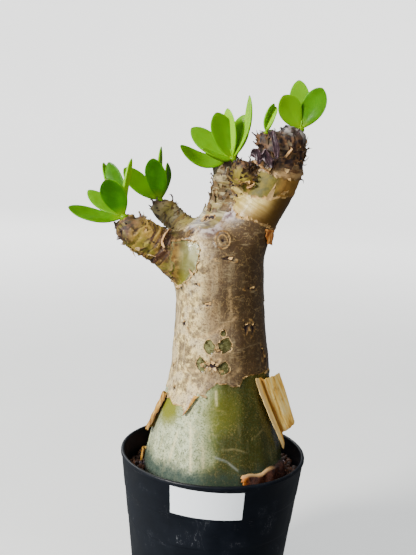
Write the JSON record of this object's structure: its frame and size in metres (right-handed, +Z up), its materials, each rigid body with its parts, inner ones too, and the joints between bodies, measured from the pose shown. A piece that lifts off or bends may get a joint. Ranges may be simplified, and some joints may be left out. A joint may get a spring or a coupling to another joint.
{
  "type": "potted tylecodon",
  "caption": "Potted succulent: a swollen bare stem with short limbs, heads of fleshy leaves and peeling papery bark, standing in grit in a round black nursery pot with a blank label.",
  "frame": {"origin": "centre of the pot's flat underside, on the surface it stands on", "axes": "+Z up, -Y towards the viewer and the blank label, +X to the viewer's right; the lowest limb reaches out towards -X"},
  "size_m": [0.1156, 0.0903, 0.2629],
  "materials": {
    "black_plastic": "slightly glossy moulded plastic with fine rings and scratches",
    "potting_grit": "damp reddish-brown granules",
    "bark": "smooth papery grey-tan skin, bare olive green below the bark's torn edge",
    "leaf_green": "glossy fleshy leaf skin",
    "papery_bark": "dry golden papery bark",
    "old_bark": "damp reddish-brown torn bark",
    "dried_leaf": "dark purple-brown shrivelled leaf",
    "white_paper": "smooth white adhesive label, blank"
  },
  "bodies": {
    "root": {"pot": "black_plastic", "soil": "potting_grit", "stem": "bark", "rosette_low_left": "leaf_green", "rosette_back_left": "leaf_green", "rosette_middle": "leaf_green", "rosette_fork_left": "leaf_green", "rosette_fork_right": "leaf_green", "bark_flap_large": "papery_bark", "bark_curl_left": "papery_bark", "bark_curl_low": "papery_bark", "bark_tongue_front": "papery_bark", "bark_flap_upper": "papery_bark", "bark_scrap_on_soil": "old_bark", "dried_leaf_hanging": "dried_leaf", "dried_leaf_crumpled": "dried_leaf", "label": "white_paper"}
  },
  "joints": []
}
